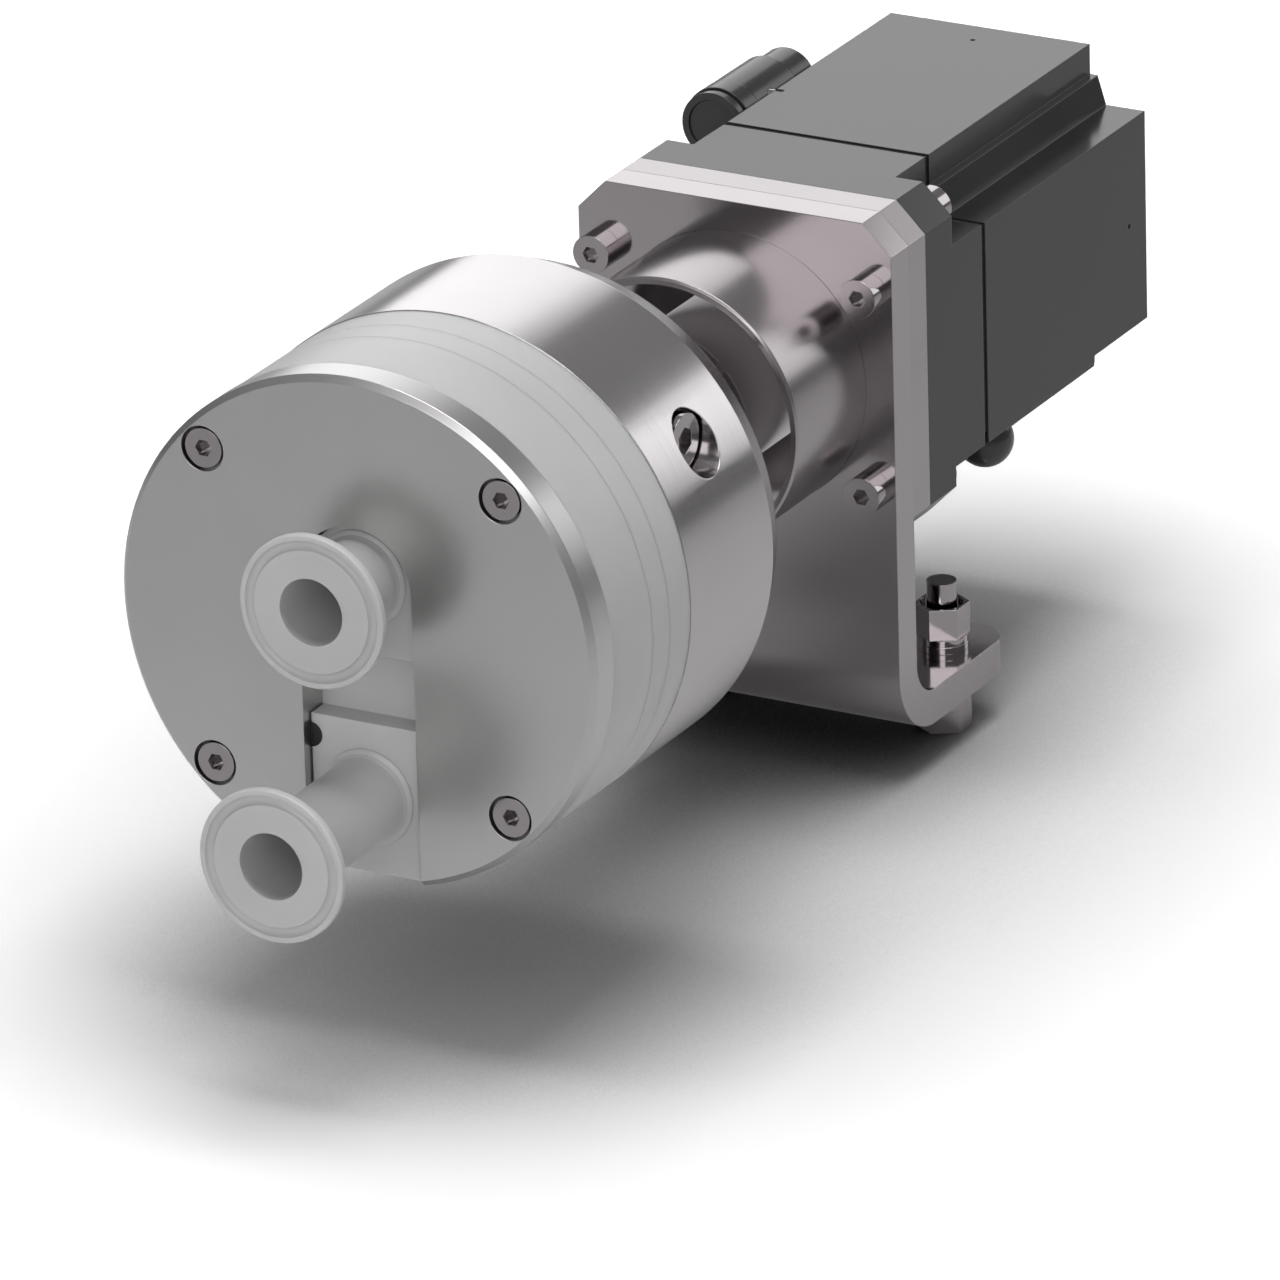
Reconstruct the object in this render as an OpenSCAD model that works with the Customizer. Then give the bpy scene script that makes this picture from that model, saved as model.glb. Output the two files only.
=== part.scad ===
// Diaphragm pump head with its wobble drive, mounting bracket and servo motor.
// The shaft carries a tilted journal. The wobble plate on it nods without turning,
// and its four arms drive four pistons against one diaphragm, one after another.
// X points right, Y from the ports back to the motor, Z up, in millimetres.
// The origin is on the underside of the foot, midway between its two bolts.

/* [Pump head] */
// Outer diameter of the pump head
head_d = 168; // [156:1:184]
// Thickness of the front plate
plate_t = 12; // [11:0.5:16]
// Width of the slot in the front plate
slot_w = 40; // [38:0.5:44]
// Distance of the chamber screws from the edge of the head
screw_edge = 9.75; // [8:0.25:11]
// Thickness of the port body
port_body_t = 25.5; // [24:0.5:32]
// Thickness of the valve plate
valve_plate_t = 11; // [11:0.5:15]
// Thickness of the chamber base
base_t = 13.3; // [13:0.1:15]

/* [Ports] */
// Outer diameter of a ferrule
ferrule_d = 50.5; // [48:0.5:54]
// Bore of a port
port_bore_d = 22.1; // [18:0.1:24]
// Height of the upper port above the shaft
upper_port_up = 16.8; // [14:0.2:19]
// Depth of the lower port below the shaft
lower_port_down = 56.2; // [54:0.2:60]
// Distance from the front plate's face to the upper ferrule's face
upper_reach = 26.9; // [22:0.5:45]
// Distance from the front plate's face to the lower ferrule's face
lower_reach = 56.7; // [50:0.5:75]

/* [Pumping cells] */
// Diameter of a piston
piston_d = 26; // [24:0.5:27]
// Tilt of the wobble plate in degrees
tilt = 3; // [2:0.1:3.2]

/* [Drive] */
// Length of the drive ring
ring_l = 65.2; // [62:0.2:75]
// Diameter of the neck behind the drive ring
neck_d = 66; // [64:0.5:68]
// Length of the neck behind the drive ring
neck_l = 70; // [66:1:80]
// How far the lantern stays inside the bracket's edge
lantern_edge = 10; // [9.5:0.5:12]
// Length of the lantern in front of the bracket
lantern_l = 47.1; // [44:0.1:60]

/* [Bracket] */
// Width of the bracket, the adapter and the motor
bracket_w = 114; // [108:1:126]
// Thickness of the bracket's sheet
bracket_t = 12; // [10:0.5:14]
// Height of the shaft above the underside of the foot
shaft_h = 123; // [110:1:160]
// Length of the foot from the bracket's front face
foot_l = 80; // [75:1:110]
// Distance between the two foot bolts
foot_bolt_gap = 84.6; // [76:0.2:88]
// Distance of the foot bolts behind the bracket's front face
foot_bolt_back = 58; // [52:1:60]

/* [Motor] */
// Length of the motor behind its black gasket
motor_l = 115.5; // [95:0.5:150]
// Width of the motor's top rib
rib_w = 74; // [70:1:76]
// Height of the motor's side ribs
side_rib_h = 73; // [70:1:76]

/* [Hidden] */

// Surfaces
satin_steel = "#8f8d8d";
bright_steel = "#c9c8c9";
white_plastic = "#c3c5c4";
black_rubber = "#1c1c1c";
dark_paint = "#4a4a4a";
black_plastic = "#2e2e2e";

// Clearances
slip = 0.5;
run = 0.05;
over = 1;

// Screw sizes: shank and head radii, head height
m8_r = 4;
m8_hole_r = 4.5;
m8_head_r = 6.5;
m8_head_h = 8;
m8_across = 5;
m12_r = 6;

// Stations along the shaft, from the front plate's face
head_r = head_d / 2;
layer_r = head_r - 0.3;
screw_half = (head_r - screw_edge) * sqrt(0.5);
y_port = plate_t;
y_valve = y_port + port_body_t;
y_base = y_valve + valve_plate_t;
y_ring = y_base + base_t;
y_floor = y_ring + 16.7;
y_ring_end = y_ring + ring_l;
y_neck = y_floor + 1;
y_neck_end = y_ring_end + neck_l;
y_lantern = y_neck_end + 4.8;
y_bracket = y_lantern + lantern_l;
y_adapter = y_bracket + bracket_t;
y_flange = y_adapter + 11.5;
y_bell = y_flange + 18.5;
y_gasket = y_bell + 20.5;
y_body = y_gasket + 2.5;
y_end = y_body + motor_l;
y_bolts = y_bracket + foot_bolt_back;

// Port body
boss_y = 4;
boss_r = slot_w / 2 - slip;
slot_top = 15;
pin_r = 4.2;
pin_down = 38.5;
pin_l = 14;
port_bore_r = port_bore_d / 2;
tube_r = port_bore_r + 2.7;
manifold_y = y_port + 10;
outlet_pocket_r = head_r * 0.393;
inlet_channel_r = [head_r * 0.476, head_r * 0.667];
seal_pitch = [head_r * 0.4345, head_r * 0.738];
seal_w = 3;
seal_h = 2;

// Valves and diaphragm
cell_pitch = head_r * 0.44;
cell_r = head_r * 0.238;
inlet_pitch = cell_pitch + cell_r * 0.55;
outlet_pitch = cell_pitch - cell_r * 0.55;
valve_r = 6;
valve_pocket_r = 6.8;
dish_r = cell_r - 1;
dish_y = y_base - 4.2;
web_y = y_valve + 1.7;
web_l = dish_y - 1.6 - web_y;
sheet_r = head_r - 20;
sheet_t = 2;
pad_t = 1.6;
pad_y = y_base + (sheet_t - pad_t) / 2;
piston_r = piston_d / 2;
cap_t = 1.2;
stud_r = 3;

// Wobble drive
y_pivot = y_ring + 8.2;
wobble_w = 12;
arm_t = 7;
hub_r = 28;
piston_boss_r = 12;
piston_boss_y = y_pivot - 14;
cavity_r = head_r - 22;
journal_r = 10;
race_wobble = [21, 10, 15.5, 3.2];

// Drive ring and its tangential clamp
spigot_r = neck_d / 2 + 3;
seal_r = 24;
clamp_hole_r = 10.25;
clamp_y = y_floor + 11.2;
clamp_up = spigot_r + m12_r + 0.6;
cotter_gap = 6;
clamp_head_x = head_r - 23;
clamp_end_x = head_r - 40;

// Main shaft and its bearings: outer, inner and pitch radius, ball radius
shaft_r = 12.5;
collar_r = 15;
race_main = [26, 12.5, 19.25, 4];
bearing_w = 15;
y_bearing_1 = y_neck + 4.5;
y_bearing_2 = y_neck_end - 39;
y_nut = y_bearing_2 + bearing_w;
tube_front_y = y_nut + 5.5;
inner_tube_r = [27, 24.5];

// Coupling
coupling_r = 20;
coupling_y = y_neck_end + 3;
coupling_hub_l = 20;
jaw_l = 12;
y_rear_hub = coupling_y + coupling_hub_l + jaw_l + 2;
motor_shaft_r = 12;

// Motor
octagon_cut = 10.2;
pilot_r = 47.5;
half_w = bracket_w / 2;
lantern_r = half_w - lantern_edge;
lantern_bore_r = lantern_r - 2.5;
lantern_collar_r = lantern_r + 4;
motor_screw_at = half_w - 11;
bracket_screw_x = half_w - 8.5;
bracket_screw_z = half_w - 23;
stator_r = half_w - 11;
race_rear = [20, 8.5, 14, 3.5];
y_motor_bearing = y_bell + 1;
y_shield = y_end - 31.5;
rear_bearing_w = 12;
y_rear_bearing = y_shield + 2;
rotor_y = y_body + 10;
rotor_l = y_shield - rotor_y - 8;
rotor_r = 26;
winding_r = [stator_r - 6, rotor_r + 4.5];
winding_end = 6;
winding_pitch = (stator_r + rotor_r) / 2 - 1;

// Connector and plug
connector_at = [-rib_w / 2 - 11.8, side_rib_h / 2 + 13.1];
connector_r = 12;
connector_y = y_body + 12;
ring_r = 12.1;
ring_w = 12;
connector_l = 52;
pin_from_x = connector_at[0] + 4;
pin_to_x = 3 - rib_w / 2;
lock_pin_r = 2.5;
lock_pin_y = y_body + 33.5;
lock_pin_up = min(half_w - 2.5, connector_at[1] + 4.9);
plug_at = [rib_w / 2 + 9.8, -side_rib_h / 2 - 9.5];
plug_r = 9.6;
plug_y = y_body + 17;
bleed_r = 0.8;
bleed_depth = 2;
bleed_back = 12.5;

// Foot
foot_up = -shaft_h;
bend_r = [bracket_t + 12.5, 12.5];
foot_bolt_r = 5;
foot_bolt_top = foot_up + bracket_t + 23.1;
spacer_h = 8.6;
hex_across = 16;
hex_r = hex_across / 2 / cos(30);

// Moves the pump from its own axis to the origin under the foot
module placed() {
    translate([0, -y_bolts, shaft_h])
    children();
}

// Turns a piece about the wobble plate's pivot
module nodding() {
    translate([0, y_pivot, 0])
    rotate([tilt, 0, 0])
    translate([0, -y_pivot, 0])
    children();
}

// Round bar along Y
module rod(y, l, r, x = 0, z = 0) {
    translate([x, y + l, z])
    rotate([90, 0, 0])
    cylinder(h = l, r = r, $fn = 96);
}

// Tube along Y
module tube(y, l, r_out, r_in, x = 0, z = 0) {
    difference() {
        rod(y, l, r_out, x, z);
        rod(y - over, l + 2 * over, r_in, x, z);
    }
}

// Cone along Y
module taper(y, l, r_front, r_back, x = 0, z = 0) {
    translate([x, y + l, z])
    rotate([90, 0, 0])
    cylinder(h = l, r1 = r_back, r2 = r_front, $fn = 96);
}

// Torus around Y
module torus(y, pitch, r) {
    translate([0, y, 0])
    rotate([90, 0, 0])
    rotate_extrude($fn = 96)
    translate([pitch, 0])
    circle(r = r, $fn = 48);
}

// Round bar along X
module cross_rod(x, l, r, y, z) {
    translate([x, y, z])
    rotate([0, 90, 0])
    cylinder(h = l, r = r, $fn = 72);
}

// Upright round bar
module upright(z, l, r, x, y, faces = 72) {
    translate([x, y, z])
    cylinder(h = l, r = r, $fn = faces);
}

// Block between two corners
module block(from, to) {
    translate(from)
    cube(to - from);
}

// Six-sided socket in a screw head that faces forwards
module socket(y, depth, across) {
    translate([0, y + depth, 0])
    rotate([90, 0, 0])
    cylinder(h = depth + over, r = across / 2 / cos(30), $fn = 6);
}

module at_square(half) {
    for (x = [-half, half], z = [-half, half]) {
        translate([x, 0, z])
        children();
    }
}

module at_cells(pitch) {
    for (turn = [0 : 90 : 270]) {
        rotate([0, turn, 0])
        translate([pitch, 0, 0])
        children();
    }
}

module chamber_screw_holes(y, l, r = m8_hole_r) {
    at_square(screw_half)
    rod(y, l, r);
}

// Cap screw along Y, its head in front
module cap_screw(y, l, r, head_r, head_h, across) {
    rod(y, l, r);
    difference() {
        rod(y - head_h, head_h, head_r);
        socket(y - head_h, head_h * 0.55, across);
    }
}

module front_plate() {
    color(satin_steel)
    placed()
    difference() {
        union() {
            taper(0, 2, head_r - 2, head_r);
            rod(2, plate_t - 2, head_r);
        }
        rod(-over, plate_t + 2 * over, slot_w / 2, 0, slot_top);
        block([-slot_w / 2, -over, -head_r - over], [slot_w / 2, plate_t + over, slot_top]);
        at_square(screw_half) {
            rod(-over, m8_head_h + 0.6 + over, 7.5);
            rod(0, plate_t + over, m8_hole_r);
        }
        rod(boss_y, plate_t, pin_r + 0.1, -slot_w / 2, -pin_down);
    }
}

module chamber_screws() {
    color(bright_steel)
    placed()
    at_square(screw_half)
    cap_screw(m8_head_h + 0.6, y_floor - m8_head_h - 2, m8_r, m8_head_r, m8_head_h, m8_across);
}

module locating_pin() {
    color(dark_paint)
    placed()
    rod(boss_y, pin_l, pin_r, -slot_w / 2, -pin_down);
}

// Hygienic ferrule on a short tube, standing forwards from the boss
module ferrule(up, reach) {
    h = reach + boss_y;
    translate([0, boss_y, up])
    rotate([90, 0, 0])
    difference() {
        rotate_extrude($fn = 96)
        polygon([
            [0, -over], [tube_r + 2.2, -over], [tube_r + 2.2, 0.6], [tube_r + 0.9, 1.4],
            [tube_r + 0.2, 2.6], [tube_r, 4], [tube_r, h - 8.4], [tube_r + 0.6, h - 7],
            [tube_r + 2.2, h - 5.9], [ferrule_d / 2 - 0.4, h - 2.9], [ferrule_d / 2, h - 2.4],
            [ferrule_d / 2, h - 0.4], [ferrule_d / 2 - 0.4, h], [0, h]
        ]);
        rotate_extrude($fn = 96)
        translate([ferrule_d / 2 - 3.5, h])
        circle(r = 1.6, $fn = 32);
    }
}

module seal_groove(pitch) {
    tube(y_valve - seal_h, seal_h + over, pitch + seal_w / 2, pitch - seal_w / 2);
}

module port_body() {
    color(white_plastic)
    placed()
    difference() {
        union() {
            rod(y_port, port_body_t, layer_r);
            rod(boss_y, y_port - boss_y + over, boss_r, 0, slot_top);
            block([-boss_r, boss_y, -8], [boss_r, y_port + over, slot_top]);
            intersection() {
                block([-boss_r, boss_y, -head_r + 2.6], [boss_r, y_port + over, -31.3]);
                rod(boss_y, y_port, layer_r);
            }
            ferrule(upper_port_up, upper_reach);
            ferrule(-lower_port_down, lower_reach);
        }
        rod(-upper_reach - over, upper_reach + manifold_y + 2 * over, port_bore_r, 0, upper_port_up);
        rod(-lower_reach - over, lower_reach + y_valve - 3.5 + over, port_bore_r, 0, -lower_port_down);
        rod(manifold_y, port_body_t, outlet_pocket_r);
        tube(manifold_y, port_body_t, inlet_channel_r[1], inlet_channel_r[0]);
        seal_groove(seal_pitch[0]);
        seal_groove(seal_pitch[1]);
        chamber_screw_holes(boss_y, y_valve);
        rod(boss_y - over, pin_l + over, pin_r, -slot_w / 2, -pin_down);
    }
}

module manifold_seals() {
    color(black_rubber)
    placed()
    for (pitch = seal_pitch) {
        intersection() {
            torus(y_valve - seal_h / 2, pitch, 1.35);
            rod(y_valve - seal_h, seal_h, pitch + 5);
        }
    }
}

// Umbrella valve: head, stem and the bulb that holds it in the web
module valve(head_y, stem_y, bulb_y, bulb_l) {
    rod(head_y, 1.2, valve_r);
    rod(stem_y, web_l + 0.2, 1.5);
    rod(bulb_y, bulb_l, 2.3);
}

module inlet_valves() {
    color(black_rubber)
    placed()
    at_cells(inlet_pitch)
    valve(web_y + web_l, web_y - 0.1, web_y - 1.3, 1.3);
}

module outlet_valves() {
    color(black_rubber)
    placed()
    at_cells(outlet_pitch)
    valve(web_y - 1.2, web_y - 0.1, web_y + web_l, 1.3);
}

// Both pockets of a valve, its stem hole and its four flow holes
module valve_seat() {
    rod(y_valve - over, web_y - y_valve + over, valve_pocket_r);
    rod(web_y + web_l, over + 2, valve_pocket_r);
    rod(y_valve, valve_plate_t, 1.5);
    for (turn = [45 : 90 : 315]) {
        rotate([0, turn, 0])
        rod(y_valve, valve_plate_t, 1.1, 4);
    }
}

module valve_plate() {
    color(white_plastic)
    placed()
    difference() {
        rod(y_valve, valve_plate_t, layer_r);
        at_cells(cell_pitch)
        rod(dish_y, valve_plate_t, dish_r);
        at_cells(inlet_pitch)
        valve_seat();
        at_cells(outlet_pitch)
        valve_seat();
        chamber_screw_holes(y_port, y_base);
    }
}

// Rolling ring of one cell, drawn as it stands with the shaft at rest
module rolling_ring(turn) {
    difference() {
        hull() {
            rotate([0, turn, 0])
            rod(y_base, sheet_t, dish_r - 0.2, cell_pitch);
            nodding()
            rotate([0, turn, 0])
            rod(pad_y, pad_t, piston_r + 1, cell_pitch);
        }
        nodding()
        rotate([0, turn, 0])
        rod(pad_y - 8, 8, piston_r + 0.6, cell_pitch);
        nodding()
        rotate([0, turn, 0])
        rod(pad_y + pad_t, 8, piston_r + 0.6, cell_pitch);
        nodding()
        rotate([0, turn, 0])
        rod(pad_y - 1, pad_t + 2, stud_r, cell_pitch);
    }
}

module diaphragm() {
    color(black_rubber)
    placed() {
        difference() {
            rod(y_base, sheet_t, sheet_r);
            at_cells(cell_pitch)
            rod(y_base - over, sheet_t + 2 * over, dish_r - 0.8);
        }
        for (turn = [0 : 90 : 270]) {
            rolling_ring(turn);
        }
    }
}

module chamber_base() {
    color(white_plastic)
    placed()
    difference() {
        rod(y_base, base_t, layer_r);
        rod(y_base - over, sheet_t + over, sheet_r);
        at_cells(cell_pitch)
        rod(y_base, base_t + over, cell_r);
        rod(y_ring - 7.8, 7.8 + over, 13.5);
        chamber_screw_holes(y_port, y_ring);
    }
}

module piston_caps() {
    color(bright_steel)
    placed()
    nodding()
    at_cells(cell_pitch) {
        rod(pad_y - cap_t, cap_t, piston_r - 1);
        rod(pad_y - 0.1, piston_boss_y + 7 - pad_y, stud_r);
    }
}

module piston_discs() {
    color(white_plastic)
    placed()
    nodding()
    at_cells(cell_pitch)
    tube(pad_y + pad_t, piston_boss_y - pad_y - pad_t, piston_r, stud_r);
}

module wobble_plate() {
    color("#b9bcbe")
    placed()
    nodding()
    difference() {
        union() {
            rod(y_pivot - wobble_w / 2, wobble_w, hub_r);
            at_cells(0)
            block([0, y_pivot - arm_t / 2, -9], [cell_pitch, y_pivot + arm_t / 2, 9]);
            at_cells(cell_pitch)
            rod(piston_boss_y, y_pivot + arm_t / 2 - piston_boss_y, piston_boss_r);
        }
        rod(y_pivot - wobble_w, 2 * wobble_w, race_wobble[0]);
        at_cells(cell_pitch)
        rod(piston_boss_y - over, 8 + over, stud_r);
    }
}

// Bearing rings and balls from [outer, inner, pitch, ball] radii
module outer_race(y, w, race) {
    difference() {
        tube(y, w, race[0], race[2] + race[3] * 0.45);
        torus(y + w / 2, race[2], race[3] + run);
    }
}

module inner_race(y, w, race) {
    difference() {
        tube(y, w, race[2] - race[3] * 0.45, race[1]);
        torus(y + w / 2, race[2], race[3]);
    }
}

module ball_row(y, w, race, count) {
    for (i = [0 : count - 1]) {
        rotate([0, i * 360 / count, 0])
        translate([race[2], y + w / 2, 0])
        sphere(r = race[3], $fn = 48);
    }
}

module wobble_bearing_ring() {
    color(bright_steel)
    placed()
    nodding()
    outer_race(y_pivot - wobble_w / 2, wobble_w, race_wobble);
}

module bearing_outer_rings() {
    color(bright_steel)
    placed() {
        outer_race(y_bearing_1, bearing_w, race_main);
        outer_race(y_bearing_2, bearing_w, race_main);
        outer_race(y_motor_bearing, bearing_w, race_main);
        outer_race(y_rear_bearing, rear_bearing_w, race_rear);
    }
}

module bearing_inner_rings() {
    color(bright_steel)
    placed() {
        nodding()
        inner_race(y_pivot - wobble_w / 2, wobble_w, race_wobble);
        inner_race(y_bearing_1, bearing_w, race_main);
        inner_race(y_bearing_2, bearing_w, race_main);
        inner_race(y_motor_bearing, bearing_w, race_main);
        inner_race(y_rear_bearing, rear_bearing_w, race_rear);
    }
}

module bearing_balls() {
    color(bright_steel)
    placed() {
        nodding()
        ball_row(y_pivot - wobble_w / 2, wobble_w, race_wobble, 10);
        ball_row(y_bearing_1, bearing_w, race_main, 9);
        ball_row(y_bearing_2, bearing_w, race_main, 9);
        ball_row(y_motor_bearing, bearing_w, race_main, 9);
        ball_row(y_rear_bearing, rear_bearing_w, race_rear, 8);
    }
}

module hub_washer() {
    color(bright_steel)
    placed()
    nodding()
    tube(y_pivot - wobble_w / 2 - 2, 2, 12, m8_r + 0.2);
}

module hub_screw() {
    color(bright_steel)
    placed()
    nodding()
    cap_screw(y_pivot - wobble_w / 2 - 2, 15, m8_r, m8_head_r, 5, 6);
}

module drive_shaft() {
    color(bright_steel)
    placed()
    difference() {
        union() {
            nodding() {
                rod(y_pivot - wobble_w / 2 + 0.2, y_neck - y_pivot + 6, journal_r);
                rod(y_pivot + wobble_w / 2, 3.4, journal_r + 3.5);
            }
            rod(y_neck - 1, y_bearing_1 - y_neck + 1, collar_r);
            rod(y_bearing_1 - over, coupling_y + coupling_hub_l - y_bearing_1, shaft_r);
        }
        nodding()
        rod(y_pivot - wobble_w, wobble_w + 8, m8_r);
    }
}

module drive_ring() {
    color(bright_steel)
    placed()
    difference() {
        union() {
            rod(y_ring, ring_l - 11.5, head_r);
            taper(y_ring_end - 11.5, 11.5, head_r, head_r - 4.8);
        }
        rod(y_ring - over, y_floor - y_ring + over, cavity_r);
        rod(y_floor - over, ring_l, spigot_r);
        chamber_screw_holes(y_ring - over, y_floor - y_ring + 2, m8_r);
        cross_rod(-clamp_end_x - 6, clamp_end_x + 6 + head_r, clamp_hole_r, clamp_y, clamp_up);
    }
}

module clamp_cotters() {
    color(satin_steel)
    placed()
    difference() {
        union() {
            cross_rod(cotter_gap, clamp_head_x - cotter_gap, clamp_hole_r, clamp_y, clamp_up);
            cross_rod(-clamp_end_x - 4, clamp_end_x + 4 - cotter_gap, clamp_hole_r, clamp_y, clamp_up);
        }
        cross_rod(0, head_r, m12_r + 0.5, clamp_y, clamp_up);
        cross_rod(-head_r, head_r, m12_r, clamp_y, clamp_up);
        rod(y_floor, ring_l, spigot_r);
    }
}

module clamp_screw() {
    color(bright_steel)
    placed() {
        cross_rod(-clamp_end_x, clamp_end_x + clamp_head_x, m12_r, clamp_y, clamp_up);
        difference() {
            cross_rod(clamp_head_x, 7, 9, clamp_y, clamp_up);
            translate([clamp_head_x + 3, clamp_y, clamp_up])
            rotate([0, 90, 0])
            cylinder(h = 4 + over, r = 4 / cos(30), $fn = 6);
        }
    }
}

module shaft_seal() {
    color(black_rubber)
    placed()
    tube(y_neck, y_bearing_1 - y_neck, seal_r, collar_r + run);
}

module outer_spacer() {
    color(satin_steel)
    placed()
    tube(y_bearing_1 + bearing_w, y_bearing_2 - y_bearing_1 - bearing_w, race_main[0], 23);
}

module inner_spacer() {
    color(satin_steel)
    placed()
    tube(y_bearing_1 + bearing_w, y_bearing_2 - y_bearing_1 - bearing_w, 16, shaft_r);
}

module retaining_ring() {
    color(satin_steel)
    placed()
    tube(y_nut, 2, 27.5, 22.5);
}

module shaft_nut() {
    color(satin_steel)
    placed()
    difference() {
        tube(y_nut, 6, 17.5, shaft_r);
        for (turn = [0 : 90 : 270]) {
            rotate([0, turn, 0])
            block([15.5, y_nut - over, -2.5], [20, y_nut + 6 + over, 2.5]);
        }
    }
}

// Housing of the main bearings; its split rear end grips the adapter's tube
module bearing_neck() {
    color(bright_steel)
    placed()
    difference() {
        union() {
            rod(y_neck, y_ring_end - y_neck, spigot_r);
            rod(y_ring_end - over, neck_l - 1.2 + over, neck_d / 2);
            taper(y_neck_end - 1.2, 1.2, neck_d / 2, neck_d / 2 - 1.2);
        }
        rod(y_neck - over, y_neck_end, seal_r);
        rod(y_bearing_1, y_neck_end, race_main[0]);
        rod(y_nut, 2, 27.5);
        rod(tube_front_y - 0.5, neck_l, inner_tube_r[0]);
        rotate([0, -44, 0])
        block([20, y_neck_end - 14, -1.5], [neck_d, y_neck_end + over, 1.5]);
    }
}

module lantern() {
    color(bright_steel)
    placed()
    difference() {
        union() {
            taper(y_lantern, 0.7, lantern_r - 0.7, lantern_r);
            rod(y_lantern + 0.7, y_adapter - y_lantern - 0.7, lantern_r);
            rod(y_adapter, 3, lantern_collar_r);
        }
        rod(y_lantern - over, y_flange, lantern_bore_r);
        taper(y_lantern - over, 0.6, lantern_bore_r + 0.6, lantern_bore_r);
    }
}

// Eight-sided plate along Y
module octagon(y, l) {
    a = half_w;
    b = half_w - octagon_cut;
    translate([0, y + l, 0])
    rotate([90, 0, 0])
    linear_extrude(height = l)
    polygon([[-a, -b], [-b, -a], [b, -a], [a, -b], [a, b], [b, a], [-b, a], [-a, b]]);
}

module bracket() {
    bend_z = foot_up + bend_r[0];
    color(bright_steel)
    placed()
    difference() {
        union() {
            intersection() {
                octagon(y_bracket, bracket_t);
                block([-half_w, y_bracket, 0], [half_w, y_adapter, half_w]);
            }
            block([-half_w, y_bracket, bend_z], [half_w, y_adapter, 0]);
            intersection() {
                difference() {
                    cross_rod(-half_w, bracket_w, bend_r[0], y_bracket + bend_r[0], bend_z);
                    cross_rod(-bracket_w, 2 * bracket_w, bend_r[1], y_bracket + bend_r[0], bend_z);
                }
                block([-half_w, y_bracket, foot_up], [half_w, y_bracket + bend_r[0], bend_z]);
            }
            block([-half_w, y_bracket + bend_r[0], foot_up],
                [half_w, y_bracket + foot_l - 12, foot_up + bracket_t]);
            block([-half_w + 12, y_bracket + bend_r[0], foot_up],
                [half_w - 12, y_bracket + foot_l, foot_up + bracket_t]);
            for (x = [-1, 1]) {
                upright(foot_up, bracket_t, 12, x * (half_w - 12), y_bracket + foot_l - 12);
            }
        }
        rod(y_bracket - over, bracket_t + 2 * over, lantern_r);
        for (x = [-bracket_screw_x, bracket_screw_x], z = [-bracket_screw_z, bracket_screw_z]) {
            rod(y_bracket - over, bracket_t + 2 * over, m8_hole_r, x, z);
        }
        for (x = [-1, 1]) {
            upright(foot_up - over, bracket_t + 2 * over, foot_bolt_r + 0.5, x * foot_bolt_gap / 2, y_bolts);
        }
    }
}

module bracket_screws() {
    color(bright_steel)
    placed()
    for (x = [-bracket_screw_x, bracket_screw_x], z = [-bracket_screw_z, bracket_screw_z]) {
        translate([x, 0, z])
        cap_screw(y_bracket, bracket_t + 10, m8_r, m8_head_r, m8_head_h, m8_across);
    }
}

module motor_adapter() {
    color(bright_steel)
    placed()
    difference() {
        union() {
            octagon(y_adapter, y_flange - y_adapter);
            rod(tube_front_y, y_flange - tube_front_y, inner_tube_r[0]);
        }
        rod(tube_front_y - over, y_flange, inner_tube_r[1]);
        tube(y_adapter - over, 3 + over, lantern_collar_r, inner_tube_r[0]);
        rod(y_flange - 3.5, 5, pilot_r);
        for (x = [-bracket_screw_x, bracket_screw_x], z = [-bracket_screw_z, bracket_screw_z]) {
            rod(y_adapter - over, 10.4 + over, m8_r, x, z);
        }
        at_square(motor_screw_at)
        rod(y_adapter + 2, 20, m8_r);
    }
}

// Jaws of one coupling half between two stations
module jaws(y, l, start) {
    intersection() {
        tube(y, l, coupling_r, 9);
        for (turn = [start : 120 : 360]) {
            rotate([0, turn, 0])
            translate([0, y + l + over, 0])
            rotate([90, 0, 0])
            linear_extrude(height = l + 2 * over)
            polygon([[0, 0], [30 * cos(20), -30 * sin(20)], [30, 0], [30 * cos(20), 30 * sin(20)]]);
        }
    }
}

module front_coupling_half() {
    color("#b9bcbe")
    placed() {
        tube(coupling_y, coupling_hub_l, coupling_r, shaft_r);
        jaws(coupling_y + coupling_hub_l - 0.5, jaw_l + 0.5, 0);
    }
}

module rear_coupling_half() {
    color("#b9bcbe")
    placed() {
        tube(y_rear_hub, coupling_hub_l, coupling_r, motor_shaft_r);
        jaws(y_rear_hub - jaw_l, jaw_l + 0.5, 60);
    }
}

module coupling_spider() {
    y_spider = coupling_y + coupling_hub_l + 2;
    color("#b23a2e")
    placed()
    difference() {
        rod(y_spider, jaw_l - 2, coupling_r);
        rod(y_spider - over, jaw_l + over, 5);
        jaws(y_spider - 2, jaw_l + 2, 0);
        jaws(y_spider - 2, jaw_l + 2, 60);
    }
}

module motor_screws() {
    color(bright_steel)
    placed()
    at_square(motor_screw_at)
    translate([0, 2 * y_bell, 0])
    mirror([0, 1, 0])
    cap_screw(y_bell, y_bell - y_adapter - 2, m8_r, 7, m8_head_h, 6);
}

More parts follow.
